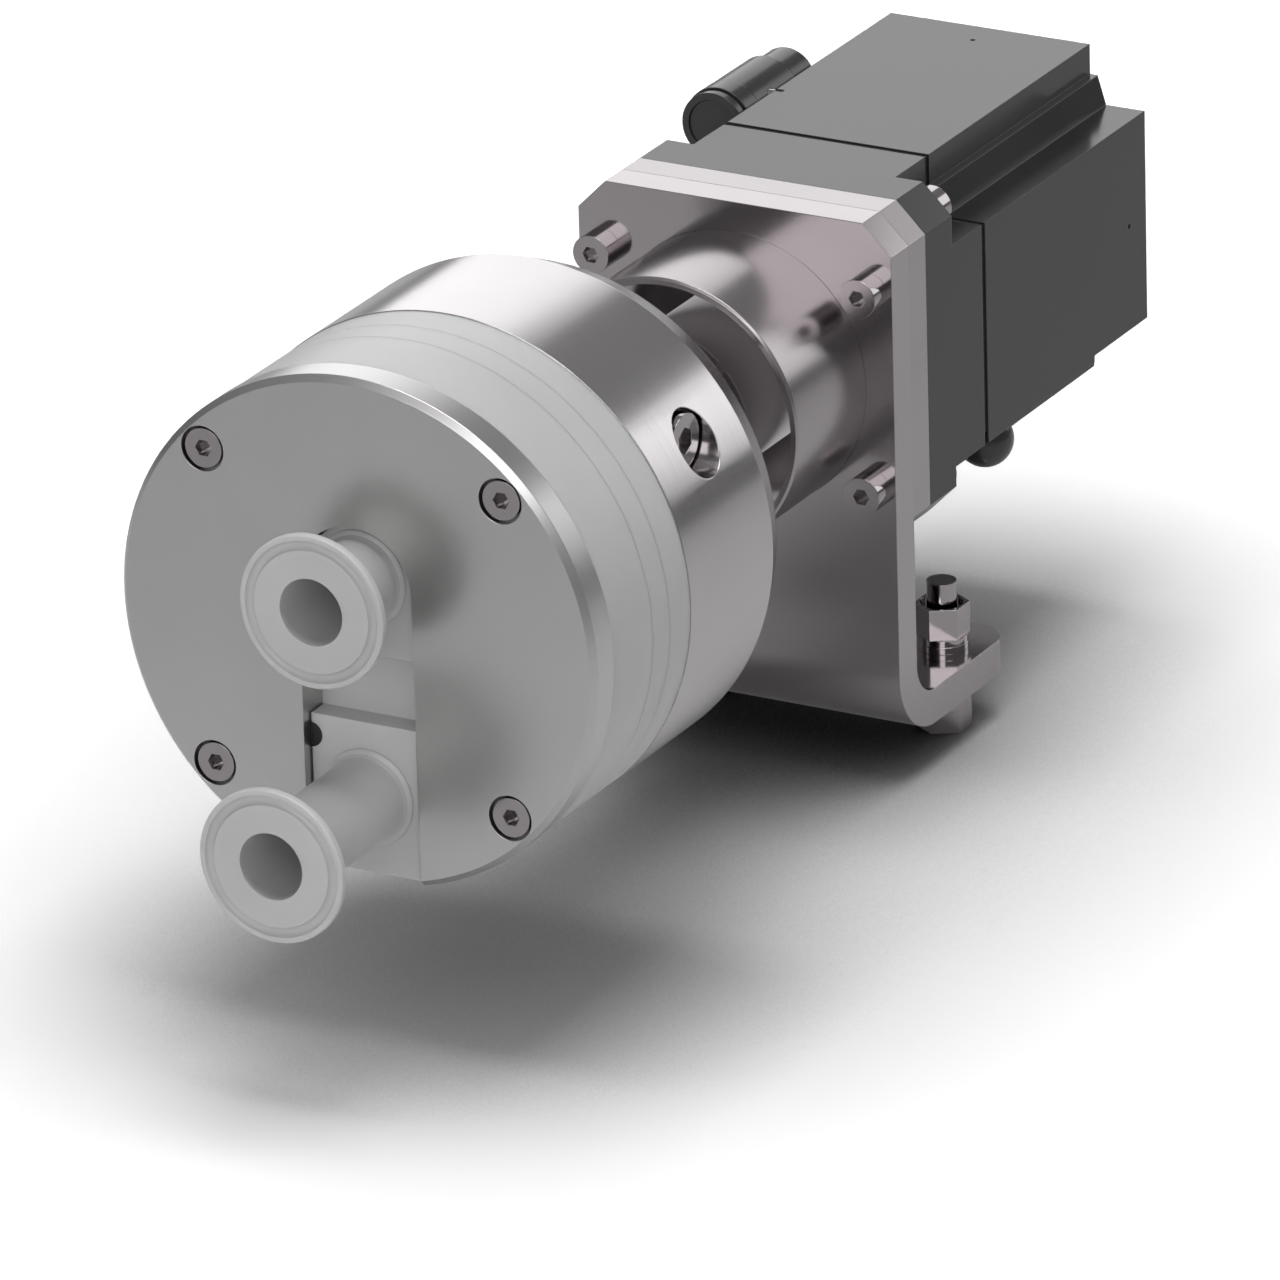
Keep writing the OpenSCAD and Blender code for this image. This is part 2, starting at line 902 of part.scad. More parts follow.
// Ribbed outline of the motor along Y
module ribbed(y, l, inset = 0) {
    a = half_w - inset;
    r = rib_w / 2 - inset;
    s = side_rib_h / 2 - inset;
    translate([0, y + l, 0])
    rotate([90, 0, 0])
    linear_extrude(height = l)
    polygon([
        [r, a], [r, s + 10], [r + 2.8, s + 10], [r + 5.8, s], [a, s], [a, -s], [r + 5.8, -s],
        [r + 2.8, -s - 10], [r, -s - 10], [r, -a], [-r, -a], [-r, -s - 10], [-r - 2.8, -s - 10],
        [-r - 5.8, -s], [-a, -s], [-a, s], [-r - 5.8, s], [-r - 2.8, s + 10], [-r, s + 10], [-r, a]
    ]);
}

// Lips under the side ribs
module side_lips(y, l, drop) {
    for (x = [-1, 1]) {
        translate([x * (half_w - 6), 0, 0])
        block([-6, y, -side_rib_h / 2 - drop], [6, y + l, 0]);
    }
}

module motor_front_housing() {
    color(dark_paint)
    placed()
    difference() {
        union() {
            octagon(y_flange, y_bell - y_flange);
            rod(y_flange - 3.5, 5, pilot_r);
            ribbed(y_bell - over, y_gasket - y_bell + over);
            side_lips(y_bell - over, y_gasket - y_bell + over, 3.3);
        }
        rod(y_flange - 5, 13.5, 20);
        rod(y_flange, y_gasket - y_flange, 17);
        rod(y_motor_bearing, y_gasket, race_main[0]);
        rod(y_motor_bearing + bearing_w, y_gasket, stator_r);
        at_square(motor_screw_at)
        rod(y_flange - over, 40, m8_hole_r);
        at_square(motor_screw_at)
        rod(y_bell, m8_head_h + 1, 7.2);
    }
}

module motor_gasket() {
    color(black_rubber)
    placed()
    difference() {
        ribbed(y_gasket, y_body - y_gasket, 0.6);
        rod(y_gasket - over, 5, stator_r);
    }
}

module connector_space() {
    rod(connector_y - over, ring_w + 2 * over, ring_r + 0.2, connector_at[0], connector_at[1]);
    rod(connector_y + ring_w, connector_l - ring_w, connector_r, connector_at[0], connector_at[1]);
}

module motor_body() {
    color(dark_paint)
    placed()
    difference() {
        union() {
            ribbed(y_body, motor_l);
            side_lips(y_body, 30.8, 3.3);
            side_lips(y_body + 30.8 - over, 45.9 + over, 2.4);
        }
        rod(y_body - over, motor_l + 2 * over, stator_r);
        connector_space();
        translate([plug_at[0], plug_y, plug_at[1]])
        sphere(r = plug_r, $fn = 96);
        cross_rod(connector_at[0], pin_to_x - connector_at[0], lock_pin_r, lock_pin_y, lock_pin_up);
        upright(half_w - bleed_depth, bleed_depth + over, bleed_r, 0, y_body + motor_l - bleed_back);
        cross_rod(half_w - bleed_depth, bleed_depth + over, bleed_r, y_body + motor_l - bleed_back, 0);
    }
}

module motor_seal() {
    color(black_rubber)
    placed()
    tube(y_flange, 8.5, 20, motor_shaft_r + run);
}

module motor_shaft() {
    color(bright_steel)
    placed() {
        rod(y_rear_hub + 1, y_motor_bearing - y_rear_hub - 1, motor_shaft_r);
        rod(y_motor_bearing, bearing_w, shaft_r);
        rod(y_motor_bearing + bearing_w, y_rear_bearing - y_motor_bearing - bearing_w, 14);
        rod(y_rear_bearing, 20, race_rear[1]);
    }
}

module rotor_core() {
    color(satin_steel)
    placed()
    tube(rotor_y, rotor_l, rotor_r - 3, 14);
}

module rotor_magnets() {
    color("#5c5f63")
    placed()
    difference() {
        tube(rotor_y, rotor_l, rotor_r, rotor_r - 3);
        for (turn = [0 : 45 : 315]) {
            rotate([0, turn, 0])
            block([0, rotor_y - over, -1], [rotor_r + over, rotor_y + rotor_l + over, 1]);
        }
    }
}

module stator_core() {
    color(satin_steel)
    placed()
    difference() {
        tube(rotor_y, rotor_l, stator_r, rotor_r + 0.8);
        for (turn = [0 : 30 : 330]) {
            rotate([0, turn, 0])
            rod(rotor_y - over, rotor_l + 2 * over, 4, winding_pitch);
        }
    }
}

module stator_windings() {
    color("#b5713a")
    placed() {
        tube(rotor_y - winding_end, winding_end, winding_r[0], winding_r[1]);
        tube(rotor_y + rotor_l, winding_end, winding_r[0], winding_r[1]);
        for (turn = [0 : 30 : 330]) {
            rotate([0, turn, 0])
            rod(rotor_y - 1, rotor_l + 2, 4, winding_pitch);
        }
    }
}

module rear_shield() {
    color(dark_paint)
    placed()
    difference() {
        rod(y_shield, 16, stator_r);
        rod(y_shield - over, 3 + rear_bearing_w, race_rear[0]);
        rod(y_shield, 20, 12);
    }
}

module encoder_disc() {
    color("#9fb4b8")
    placed()
    tube(y_shield + 18.5, 1, 18, race_rear[1]);
}

module encoder_reader() {
    color(black_plastic)
    placed()
    difference() {
        block([-7, y_shield + 16, 13], [7, y_shield + 24, 27]);
        rod(y_shield + 17.6, 2.8, 18.8);
    }
}

module rear_cover() {
    color(dark_paint)
    placed()
    rod(y_end - 5.5, 5.5, stator_r);
}

module connector_body() {
    color(black_plastic)
    placed()
    difference() {
        union() {
            rod(connector_y + ring_w, 26, connector_r, connector_at[0], connector_at[1]);
            rod(connector_y + ring_w + 25, 15, connector_r - 1.6, connector_at[0], connector_at[1]);
            rod(connector_y + 3, ring_w, 9, connector_at[0], connector_at[1]);
        }
        rod(connector_y, 8, 7.5, connector_at[0], connector_at[1]);
        cross_rod(pin_from_x, 15, lock_pin_r, lock_pin_y, lock_pin_up);
    }
}

// Round cover that closes the connector's face
module connector_cap() {
    color(black_plastic)
    placed()
    translate([connector_at[0], 0, connector_at[1]]) {
        rod(connector_y + 0.6, 2.4, 9);
        rod(connector_y + 3, 5, 7.5);
    }
}

module connector_ring() {
    color(black_plastic)
    placed()
    difference() {
        union() {
            rod(connector_y, 3, ring_r - 0.6, connector_at[0], connector_at[1]);
            rod(connector_y + 2.5, 1.5, ring_r - 1.4, connector_at[0], connector_at[1]);
            rod(connector_y + 4, ring_w - 4, ring_r, connector_at[0], connector_at[1]);
        }
        rod(connector_y - over, ring_w + 2 * over, 9 + run, connector_at[0], connector_at[1]);
    }
}

module connector_pin() {
    color(bright_steel)
    placed()
    cross_rod(pin_from_x, pin_to_x - pin_from_x, lock_pin_r, lock_pin_y, lock_pin_up);
}

module domed_plug() {
    color(black_plastic)
    placed()
    translate([plug_at[0], plug_y, plug_at[1]])
    sphere(r = plug_r, $fn = 96);
}

module at_foot_bolts() {
    for (x = [-1, 1]) {
        translate([x * foot_bolt_gap / 2, y_bolts, 0])
        children();
    }
}

module foot_bolts() {
    color(bright_steel)
    placed()
    at_foot_bolts() {
        upright(foot_up - spacer_h, foot_bolt_top - foot_up + spacer_h, foot_bolt_r, 0, 0);
        rotate([0, 0, 30])
        upright(foot_up - spacer_h - 7.5, 7.5, hex_r, 0, 0, 6);
    }
}

module foot_spacers() {
    color(bright_steel)
    placed()
    at_foot_bolts()
    difference() {
        upright(foot_up - spacer_h, spacer_h, 9, 0, 0);
        upright(foot_up - spacer_h - over, spacer_h + 2 * over, foot_bolt_r + 0.5, 0, 0);
    }
}

module foot_washers() {
    color(bright_steel)
    placed()
    at_foot_bolts()
    for (i = [0, 1]) {
        difference() {
            upright(foot_up + bracket_t + i * 2.3, 2.3, 8.8 - i * 0.2, 0, 0);
            upright(foot_up + bracket_t - over, 7, foot_bolt_r + 0.3, 0, 0);
        }
    }
}

module foot_nuts() {
    color(bright_steel)
    placed()
    at_foot_bolts()
    difference() {
        rotate([0, 0, 30])
        upright(foot_up + bracket_t + 4.6, 10.8, hex_r, 0, 0, 6);
        upright(foot_up + bracket_t, 20, foot_bolt_r, 0, 0);
        upright(foot_up + bracket_t + 11.4, 5, hex_across / 2 - 0.8, 0, 0);
    }
}

front_plate();
chamber_screws();
locating_pin();
port_body();
manifold_seals();
inlet_valves();
outlet_valves();
valve_plate();
diaphragm();
chamber_base();
piston_caps();
piston_discs();
wobble_plate();
wobble_bearing_ring();
hub_washer();
hub_screw();
drive_shaft();
drive_ring();
clamp_cotters();
clamp_screw();
shaft_seal();
bearing_outer_rings();
bearing_inner_rings();
bearing_balls();
outer_spacer();
inner_spacer();
retaining_ring();
shaft_nut();
bearing_neck();
lantern();
bracket();
bracket_screws();
motor_adapter();
front_coupling_half();
coupling_spider();
rear_coupling_half();
motor_screws();
motor_front_housing();
motor_gasket();
motor_body();
motor_seal();
motor_shaft();
rotor_core();
rotor_magnets();
stator_core();
stator_windings();
rear_shield();
encoder_disc();
encoder_reader();
rear_cover();
connector_body();
connector_cap();
connector_ring();
connector_pin();
domed_plug();
foot_bolts();
foot_spacers();
foot_washers();
foot_nuts();
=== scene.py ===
import math
import bpy
from mathutils import Matrix, Vector

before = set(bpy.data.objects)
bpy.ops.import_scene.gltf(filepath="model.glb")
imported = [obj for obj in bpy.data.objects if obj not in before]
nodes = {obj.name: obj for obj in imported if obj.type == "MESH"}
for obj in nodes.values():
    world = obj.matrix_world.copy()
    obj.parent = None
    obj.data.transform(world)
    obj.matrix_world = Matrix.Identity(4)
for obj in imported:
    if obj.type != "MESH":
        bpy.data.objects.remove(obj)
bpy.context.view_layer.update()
mm = 0.001

# Rays that the shading takes to round an edge
edgeSamples = 6

# The pump's own axis in the part's frame: front plate face and shaft height
axisAt = {"front": -0.3069, "height": 0.123}


def linearColour(code):
    # sRGB hex to the linear values that the shaders take
    parts = [int(code[i:i + 2], 16) / 255 for i in (1, 3, 5)]
    return [c / 12.92 if c <= 0.04045 else ((c + 0.055) / 1.055) ** 2.4 for c in parts] + [1.0]


def addNode(tree, kind, links=(), ramp=(), second=None, **values):
    # one node with its settings; a link is (own input, other node, that node's output),
    # and second is the value of a maths node's second input
    node = tree.nodes.new(kind)
    if second is not None:
        node.inputs[1].default_value = second
    for name, value in values.items():
        socket = name.replace("_", " ")
        if socket in node.inputs:
            node.inputs[socket].default_value = value
        else:
            setattr(node, name, value)
    for index, (position, colour) in enumerate(ramp):
        node.color_ramp.elements[index].position = position
        node.color_ramp.elements[index].color = linearColour(colour)
    for own, other, output in links:
        tree.links.new(other.outputs[output], node.inputs[own])
    return node


def emptyMaterial(name):
    material = bpy.data.materials.new(name)
    material.use_nodes = True
    material.node_tree.nodes.clear()
    return material, material.node_tree


def startMaterial(name):
    # an empty material, its node tree, and the object's own coordinates in metres
    material, tree = emptyMaterial(name)
    return material, tree, addNode(tree, "ShaderNodeTexCoord")


def blastedStainless():
    # stainless steel, bead blasted and passivated: even satin grey with 0.4 mm grit marks
    material, tree, place = startMaterial("blastedStainless")
    cloud = addNode(tree, "ShaderNodeTexNoise", [("Vector", place, "Object")], Scale=18, Detail=4)
    grit = addNode(tree, "ShaderNodeTexNoise", [("Vector", place, "Object")], Scale=2500, Detail=2)
    tone = addNode(tree, "ShaderNodeValToRGB", [("Fac", cloud, "Fac")],
                   ramp=((0.3, "#c1c0c0"), (0.7, "#c7c6c6")))
    satin = addNode(tree, "ShaderNodeMapRange", [("Value", cloud, "Fac")], To_Min=0.26, To_Max=0.32)
    edge = addNode(tree, "ShaderNodeBevel", samples=edgeSamples, Radius=0.35 * mm)
    marks = addNode(tree, "ShaderNodeBump",
                    [("Height", grit, "Fac"), ("Normal", edge, "Normal")],
                    Strength=0.06, Distance=0.00002)
    shader = addNode(tree, "ShaderNodeBsdfPrincipled",
                     [("Base Color", tone, "Color"), ("Roughness", satin, "Result"),
                      ("Normal", marks, "Normal")], Metallic=1.0)
    addNode(tree, "ShaderNodeOutputMaterial", [("Surface", shader, "BSDF")])
    return material


def turnedStainless():
    # stainless steel, turned on a lathe: fine rings 0.5 mm apart along the shaft
    material, tree, place = startMaterial("turnedStainless")
    cloud = addNode(tree, "ShaderNodeTexNoise", [("Vector", place, "Object")], Scale=15, Detail=4)
    along = addNode(tree, "ShaderNodeMapping", [("Vector", place, "Object")], Scale=(8, 2000, 8))
    rings = addNode(tree, "ShaderNodeTexNoise", [("Vector", along, "Vector")], Scale=1, Detail=2)
    tone = addNode(tree, "ShaderNodeValToRGB", [("Fac", cloud, "Fac")],
                   ramp=((0.3, "#bbb8b9"), (0.7, "#c1bebf")))
    satin = addNode(tree, "ShaderNodeMapRange", [("Value", rings, "Fac")], To_Min=0.14, To_Max=0.22)
    edge = addNode(tree, "ShaderNodeBevel", samples=edgeSamples, Radius=0.5 * mm)
    marks = addNode(tree, "ShaderNodeBump",
                    [("Height", rings, "Fac"), ("Normal", edge, "Normal")],
                    Strength=0.04, Distance=0.00002)
    shader = addNode(tree, "ShaderNodeBsdfPrincipled",
                     [("Base Color", tone, "Color"), ("Roughness", satin, "Result"),
                      ("Normal", marks, "Normal")], Metallic=1.0)
    addNode(tree, "ShaderNodeOutputMaterial", [("Surface", shader, "BSDF")])
    return material


def polishedStainless(name="polishedStainless", clear=0.07, dull=0.13):
    # stainless steel, electropolished or fine ground: faint waves 30 mm long in its reflections
    material, tree, place = startMaterial(name)
    wave = addNode(tree, "ShaderNodeTexNoise", [("Vector", place, "Object")], Scale=30, Detail=3)
    tone = addNode(tree, "ShaderNodeValToRGB", [("Fac", wave, "Fac")],
                   ramp=((0.3, "#a49fa1"), (0.7, "#aaa5a7")))
    gloss = addNode(tree, "ShaderNodeMapRange", [("Value", wave, "Fac")], To_Min=clear, To_Max=dull)
    edge = addNode(tree, "ShaderNodeBevel", samples=edgeSamples, Radius=0.35 * mm)
    marks = addNode(tree, "ShaderNodeBump",
                    [("Height", wave, "Fac"), ("Normal", edge, "Normal")],
                    Strength=0.03, Distance=0.0002)
    shader = addNode(tree, "ShaderNodeBsdfPrincipled",
                     [("Base Color", tone, "Color"), ("Roughness", gloss, "Result"),
                      ("Normal", marks, "Normal")], Metallic=1.0)
    addNode(tree, "ShaderNodeOutputMaterial", [("Surface", shader, "BSDF")])
    return material


def rolledStainless():
    # stainless sheet, cold rolled: bright, with faint upright streaks about 1 mm wide
    material, tree, place = startMaterial("rolledStainless")
    cloud = addNode(tree, "ShaderNodeTexNoise", [("Vector", place, "Object")], Scale=12, Detail=3)
    upright = addNode(tree, "ShaderNodeMapping", [("Vector", place, "Object")],
                      Scale=(1000, 1000, 12))
    streak = addNode(tree, "ShaderNodeTexNoise", [("Vector", upright, "Vector")], Scale=1, Detail=3)
    tone = addNode(tree, "ShaderNodeValToRGB", [("Fac", cloud, "Fac")],
                   ramp=((0.3, "#a6a1a3"), (0.7, "#aca7a9")))
    gloss = addNode(tree, "ShaderNodeMapRange", [("Value", streak, "Fac")],
                    To_Min=0.08, To_Max=0.14)
    edge = addNode(tree, "ShaderNodeBevel", samples=edgeSamples, Radius=0.4 * mm)
    marks = addNode(tree, "ShaderNodeBump",
                    [("Height", streak, "Fac"), ("Normal", edge, "Normal")],
                    Strength=0.03, Distance=0.00002)
    shader = addNode(tree, "ShaderNodeBsdfPrincipled",
                     [("Base Color", tone, "Color"), ("Roughness", gloss, "Result"),
                      ("Normal", marks, "Normal")], Metallic=1.0)
    addNode(tree, "ShaderNodeOutputMaterial", [("Surface", shader, "BSDF")])
    return material


def naturalPolypropylene():
    # natural polypropylene, machined from bar: milky and waxy, with cuts about 0.7 mm apart;
    # light passes a few millimetres
    material, tree, place = startMaterial("naturalPolypropylene")
    cloud = addNode(tree, "ShaderNodeTexNoise", [("Vector", place, "Object")], Scale=25, Detail=4)
    along = addNode(tree, "ShaderNodeMapping", [("Vector", place, "Object")], Scale=(10, 1500, 10))
    cuts = addNode(tree, "ShaderNodeTexNoise", [("Vector", along, "Vector")], Scale=1, Detail=2)
    tone = addNode(tree, "ShaderNodeValToRGB", [("Fac", cloud, "Fac")],
                   ramp=((0.3, "#c3c4c3"), (0.7, "#cacbca")))
    satin = addNode(tree, "ShaderNodeMapRange", [("Value", cuts, "Fac")], To_Min=0.36, To_Max=0.45)
    edge = addNode(tree, "ShaderNodeBevel", samples=edgeSamples, Radius=0.4 * mm)
    marks = addNode(tree, "ShaderNodeBump",
                    [("Height", cuts, "Fac"), ("Normal", edge, "Normal")],
                    Strength=0.03, Distance=0.00002)
    shader = addNode(tree, "ShaderNodeBsdfPrincipled",
                     [("Base Color", tone, "Color"), ("Roughness", satin, "Result"),
                      ("Normal", marks, "Normal")],
                     Subsurface_Weight=0.4, Subsurface_Radius=(1, 1, 1), Subsurface_Scale=0.004)
    addNode(tree, "ShaderNodeOutputMaterial", [("Surface", shader, "BSDF")])
    return material


def paintedCasting():
    # cast aluminium, sprayed with dark grey gloss paint: orange peel about 1 mm across
    material, tree, place = startMaterial("paintedCasting")
    cloud = addNode(tree, "ShaderNodeTexNoise", [("Vector", place, "Object")], Scale=20, Detail=3)
    peel = addNode(tree, "ShaderNodeTexNoise", [("Vector", place, "Object")], Scale=900, Detail=2)
    tone = addNode(tree, "ShaderNodeValToRGB", [("Fac", cloud, "Fac")],
                   ramp=((0.3, "#222223"), (0.7, "#272728")))
    gloss = addNode(tree, "ShaderNodeMapRange", [("Value", cloud, "Fac")], To_Min=0.15, To_Max=0.21)
    edge = addNode(tree, "ShaderNodeBevel", samples=edgeSamples, Radius=0.5 * mm)
    marks = addNode(tree, "ShaderNodeBump",
                    [("Height", peel, "Fac"), ("Normal", edge, "Normal")],
                    Strength=0.03, Distance=0.00002)
    shader = addNode(tree, "ShaderNodeBsdfPrincipled",
                     [("Base Color", tone, "Color"), ("Roughness", gloss, "Result"),
                      ("Normal", marks, "Normal")], IOR=1.46)
    addNode(tree, "ShaderNodeOutputMaterial", [("Surface", shader, "BSDF")])
    return material


def mouldedNylon():
    # black glass-filled nylon, injection moulded: satin with a grain about 0.7 mm across
    material, tree, place = startMaterial("mouldedNylon")
    cloud = addNode(tree, "ShaderNodeTexNoise", [("Vector", place, "Object")], Scale=40, Detail=3)
    grain = addNode(tree, "ShaderNodeTexNoise", [("Vector", place, "Object")], Scale=1500, Detail=2)
    tone = addNode(tree, "ShaderNodeValToRGB", [("Fac", cloud, "Fac")],
                   ramp=((0.3, "#303031"), (0.7, "#373738")))
    satin = addNode(tree, "ShaderNodeMapRange", [("Value", grain, "Fac")], To_Min=0.18, To_Max=0.26)
    edge = addNode(tree, "ShaderNodeBevel", samples=edgeSamples, Radius=0.5 * mm)
    marks = addNode(tree, "ShaderNodeBump",
                    [("Height", grain, "Fac"), ("Normal", edge, "Normal")],
                    Strength=0.06, Distance=0.00003)
    shader = addNode(tree, "ShaderNodeBsdfPrincipled",
                     [("Base Color", tone, "Color"), ("Roughness", satin, "Result"),
                      ("Normal", marks, "Normal")])
    addNode(tree, "ShaderNodeOutputMaterial", [("Surface", shader, "BSDF")])
    return material


def mouldedRubber(name="mouldedRubber", dark="#181818", light="#202020"):
    # nitrile rubber or polyurethane, compression moulded: dull with a grain about 1 mm across
    material, tree, place = startMaterial(name)
    grain = addNode(tree, "ShaderNodeTexNoise", [("Vector", place, "Object")], Scale=900, Detail=3)
    tone = addNode(tree, "ShaderNodeValToRGB", [("Fac", grain, "Fac")],
                   ramp=((0.3, dark), (0.7, light)))
    dull = addNode(tree, "ShaderNodeMapRange", [("Value", grain, "Fac")], To_Min=0.6, To_Max=0.72)
    marks = addNode(tree, "ShaderNodeBump", [("Height", grain, "Fac")],
                    Strength=0.1, Distance=0.00004)
    shader = addNode(tree, "ShaderNodeBsdfPrincipled",
                     [("Base Color", tone, "Color"), ("Roughness", dull, "Result"),
                      ("Normal", marks, "Normal")])
    addNode(tree, "ShaderNodeOutputMaterial", [("Surface", shader, "BSDF")])
    return material


def machinedAluminium():
    # aluminium, milled: pale grey with tool marks about 1 mm apart
    material, tree, place = startMaterial("machinedAluminium")
    cloud = addNode(tree, "ShaderNodeTexNoise", [("Vector", place, "Object")], Scale=30, Detail=3)
    across = addNode(tree, "ShaderNodeMapping", [("Vector", place, "Object")], Scale=(900, 60, 900))
    cuts = addNode(tree, "ShaderNodeTexNoise", [("Vector", across, "Vector")], Scale=1, Detail=2)
    tone = addNode(tree, "ShaderNodeValToRGB", [("Fac", cloud, "Fac")],
                   ramp=((0.3, "#c0c3c5"), (0.7, "#c8cbcd")))
    satin = addNode(tree, "ShaderNodeMapRange", [("Value", cuts, "Fac")], To_Min=0.27, To_Max=0.38)
    marks = addNode(tree, "ShaderNodeBump", [("Height", cuts, "Fac")],
                    Strength=0.04, Distance=0.00003)
    shader = addNode(tree, "ShaderNodeBsdfPrincipled",
                     [("Base Color", tone, "Color"), ("Roughness", satin, "Result"),
                      ("Normal", marks, "Normal")], Metallic=1.0)
    addNode(tree, "ShaderNodeOutputMaterial", [("Surface", shader, "BSDF")])
    return material


def coatedSteel(name, dark, light):
    # steel, hot blackened or nickel plated: low gloss that varies over about 8 mm
    material, tree, place = startMaterial(name)
    cloud = addNode(tree, "ShaderNodeTexNoise", [("Vector", place, "Object")], Scale=120, Detail=3)
    tone = addNode(tree, "ShaderNodeValToRGB", [("Fac", cloud, "Fac")],
                   ramp=((0.3, dark), (0.7, light)))
    satin = addNode(tree, "ShaderNodeMapRange", [("Value", cloud, "Fac")], To_Min=0.35, To_Max=0.48)
    shader = addNode(tree, "ShaderNodeBsdfPrincipled",
                     [("Base Color", tone, "Color"), ("Roughness", satin, "Result")], Metallic=0.6)
    addNode(tree, "ShaderNodeOutputMaterial", [("Surface", shader, "BSDF")])
    return material


def enamelledCopper():
    # copper wire, clear enamelled and wound: parallel turns 0.8 mm apart
    material, tree, place = startMaterial("enamelledCopper")
    across = addNode(tree, "ShaderNodeMapping", [("Vector", place, "Object")],
                     Scale=(1250, 40, 1250))
    turns = addNode(tree, "ShaderNodeTexNoise", [("Vector", across, "Vector")], Scale=1, Detail=1)
    tone = addNode(tree, "ShaderNodeValToRGB", [("Fac", turns, "Fac")],
                   ramp=((0.3, "#9a5a2c"), (0.7, "#c98048")))
    marks = addNode(tree, "ShaderNodeBump", [("Height", turns, "Fac")],
                    Strength=0.3, Distance=0.0001)
    shader = addNode(tree, "ShaderNodeBsdfPrincipled",
                     [("Base Color", tone, "Color"), ("Normal", marks, "Normal")],
                     Metallic=0.8, Roughness=0.3)
    addNode(tree, "ShaderNodeOutputMaterial", [("Surface", shader, "BSDF")])
    return material


finishes = {
    "blasted": blastedStainless(),
    "turned": turnedStainless(),
    "polished": polishedStainless(),
    "ground": polishedStainless("groundStainless", 0.2, 0.28),
    "rolled": rolledStainless(),
    "polymer": naturalPolypropylene(),
    "painted": paintedCasting(),
    "nylon": mouldedNylon(),
    "rubber": mouldedRubber(),
    "polyurethane": mouldedRubber("castPolyurethane", "#9a2f26", "#b23a2e"),
    "aluminium": machinedAluminium(),
    "blackened": coatedSteel("blackenedSteel", "#2b2b2c", "#39393a"),
    "magnet": coatedSteel("nickelPlatedMagnet", "#6d7074", "#83868a"),
    "copper": enamelledCopper(),
}

finishOf = {
    "blasted": ["front_plate", "clamp_cotters", "outer_spacer", "inner_spacer", "retaining_ring",
                "shaft_nut", "rotor_core", "stator_core"],
    "turned": ["drive_ring", "bearing_neck", "bearing_outer_rings", "bearing_inner_rings",
               "wobble_bearing_ring", "drive_shaft", "motor_shaft", "hub_washer", "piston_caps"],
    "polished": ["chamber_screws", "hub_screw", "clamp_screw", "bearing_balls",
                 "bracket_screws", "motor_screws", "connector_pin", "foot_bolts", "foot_spacers",
                 "foot_washers", "foot_nuts"],
    "ground": ["lantern", "motor_adapter"],
    "rolled": ["bracket"],
    "polymer": ["port_body", "valve_plate", "chamber_base", "piston_discs"],
    "painted": ["motor_front_housing", "motor_body", "rear_shield", "rear_cover"],
    "nylon": ["connector_body", "connector_cap", "connector_ring", "domed_plug", "encoder_reader"],
    "rubber": ["manifold_seals", "inlet_valves", "outlet_valves", "diaphragm", "shaft_seal",
               "motor_gasket", "motor_seal"],
    "polyurethane": ["coupling_spider"],
    "aluminium": ["wobble_plate", "front_coupling_half", "rear_coupling_half", "encoder_disc"],
    "blackened": ["locating_pin"],
    "magnet": ["rotor_magnets"],
    "copper": ["stator_windings"],
}
for finish, names in finishOf.items():
    for name in names:
        slots = nodes[name].data.materials
        slots.clear()
        slots.append(finishes[finish])
print("materials done")


# Camera at the photograph's angle: focal length in pixels of a 1280 frame, turn and place in mm,
# sensor width in mm, and how far it sees in metres
cameraSet = {
    "focalPx": 13815.798, "turn": (1.919236, 0.469788, -0.351536),
    "shiftTo": (-87.79145, -1.68826, 4253.68673), "centre": (641.17, 638.80), "frame": 1280,
    "sensor": 36, "sees": 50,
}


def photoCamera():
    turn = Vector(cameraSet["turn"])
    view = Matrix.Rotation(turn.length, 3, turn.normalized())
    offset = Vector(cameraSet["shiftTo"])
    eye = -(view.transposed() @ offset) * mm + Vector((0, axisAt["front"], axisAt["height"]))
    flip = Matrix(((1, 0, 0), (0, -1, 0), (0, 0, -1)))
    camera = bpy.data.objects.new("photoCamera", bpy.data.cameras.new("photoCamera"))
    bpy.context.scene.collection.objects.link(camera)
    camera.matrix_world = Matrix.Translation(eye) @ (flip @ view).transposed().to_4x4()
    camera.data.sensor_width = cameraSet["sensor"]
    camera.data.lens = cameraSet["focalPx"] * cameraSet["sensor"] / cameraSet["frame"]
    half = cameraSet["frame"] / 2
    camera.data.shift_x = (half - cameraSet["centre"][0]) / cameraSet["frame"]
    camera.data.shift_y = (cameraSet["centre"][1] - half) / cameraSet["frame"]
    camera.data.clip_end = cameraSet["sees"]
    bpy.context.scene.camera = camera


photoCamera()
print("camera done")

